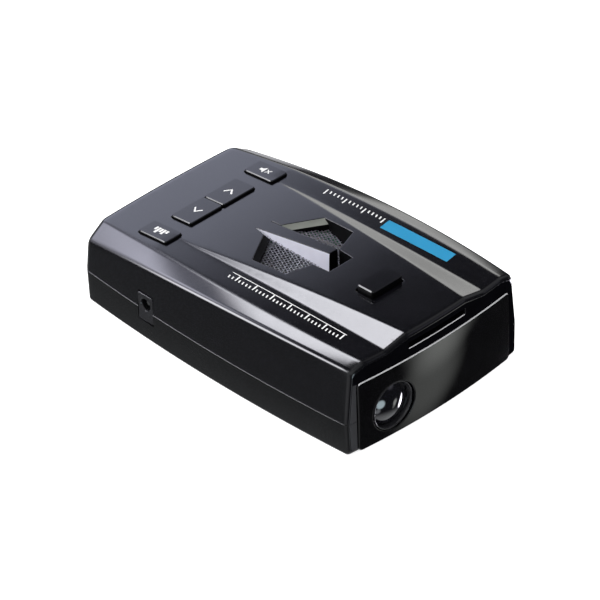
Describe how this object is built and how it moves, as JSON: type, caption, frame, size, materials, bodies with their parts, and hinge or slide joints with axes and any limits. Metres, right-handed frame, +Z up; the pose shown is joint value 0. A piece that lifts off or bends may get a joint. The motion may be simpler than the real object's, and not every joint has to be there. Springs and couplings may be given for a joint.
{
  "type": "radar detector",
  "caption": "Windscreen radar and laser detector with a tapered case, curved front window, laser lens, push keys, speaker grille and a sprung bracket release button.",
  "frame": {"origin": "centre of the underside, on the plane the detector rests on", "axes": "+Y towards the driver (display end), -Y towards the road (laser lens and radar window), +Z up"},
  "size_m": [0.0694, 0.1092, 0.0321],
  "materials": {
    "case_black": "satin black ABS",
    "case_lower_black": "fine-textured black ABS",
    "window_black": "polished infrared-passing black acrylic",
    "lens_glass": "polished dark lens",
    "ring_black": "polished black ring",
    "key_black": "satin black key plastic",
    "zinc": "as-cast metal",
    "steel": "plated sheet steel",
    "mesh_steel": "woven wire mesh",
    "board_green": "solder-masked fibreglass",
    "chip_black": "moulded epoxy",
    "nylon_white": "natural nylon",
    "cone_paper": "black pulp cone",
    "wire_red": "PVC insulation",
    "wire_black": "PVC insulation",
    "label_silver": "brushed polyester label, blank",
    "display_glass": "dark display glass"
  },
  "bodies": {
    "case": {"top_cover": "case_black", "bottom_cover": "case_lower_black", "front_window": "window_black", "rear_window": "window_black", "lens_ring": "ring_black", "laser_lens": "lens_glass", "laser_housing": "chip_black", "laser_board": "board_green", "laser_diode": "display_glass", "horn_antenna": "zinc", "mixer_board": "board_green", "rf_shield": "steel", "main_board": "board_green", "board_screw_1": "steel", "board_screw_2": "steel", "processor_chip": "chip_black", "memory_chip": "chip_black", "voltage_regulator": "chip_black", "supply_capacitor": "zinc", "speaker_socket": "nylon_white", "speaker_frame": "steel", "speaker_cone": "cone_paper", "speaker_magnet": "zinc", "speaker_mesh": "mesh_steel", "speaker_wire_red": "wire_red", "speaker_wire_black": "wire_black", "city_switch": "steel", "mute_switch": "steel", "volume_down_switch": "steel", "volume_up_switch": "steel", "release_spring": "steel", "bracket_guide": "steel", "power_jack": "chip_black", "power_jack_pin": "steel", "display_panel": "display_glass", "display_board": "board_green", "display_cable": "nylon_white", "rear_laser_sensor": "display_glass", "case_screw_1": "steel", "case_screw_2": "steel", "case_screw_3": "steel", "case_screw_4": "steel", "rating_label": "label_silver"},
    "city": {"city_key": "key_black", "city_plunger": "chip_black"},
    "mute": {"mute_key": "key_black", "mute_plunger": "chip_black"},
    "volume_down": {"volume_down_key": "key_black", "volume_down_plunger": "chip_black"},
    "volume_up": {"volume_up_key": "key_black", "volume_up_plunger": "chip_black"},
    "release": {"release_button": "key_black", "release_latch": "steel"}
  },
  "joints": [
    {"name": "city_press", "type": "slide", "parent": "case", "child": "city", "axis": [0, 0, -1], "range_m": [0, 0.0005], "stiffness_N_per_m": 300},
    {"name": "mute_press", "type": "slide", "parent": "case", "child": "mute", "axis": [0, 0, -1], "range_m": [0, 0.0005], "stiffness_N_per_m": 300},
    {"name": "volume_down_press", "type": "slide", "parent": "case", "child": "volume_down", "axis": [0, 0, -1], "range_m": [0, 0.0005], "stiffness_N_per_m": 300},
    {"name": "volume_up_press", "type": "slide", "parent": "case", "child": "volume_up", "axis": [0, 0, -1], "range_m": [0, 0.0005], "stiffness_N_per_m": 300},
    {"name": "release_press", "type": "slide", "parent": "case", "child": "release", "axis": [0, 0, -1], "range_m": [0, 0.0016], "stiffness_N_per_m": 400, "deforming": ["release_spring"]}
  ]
}
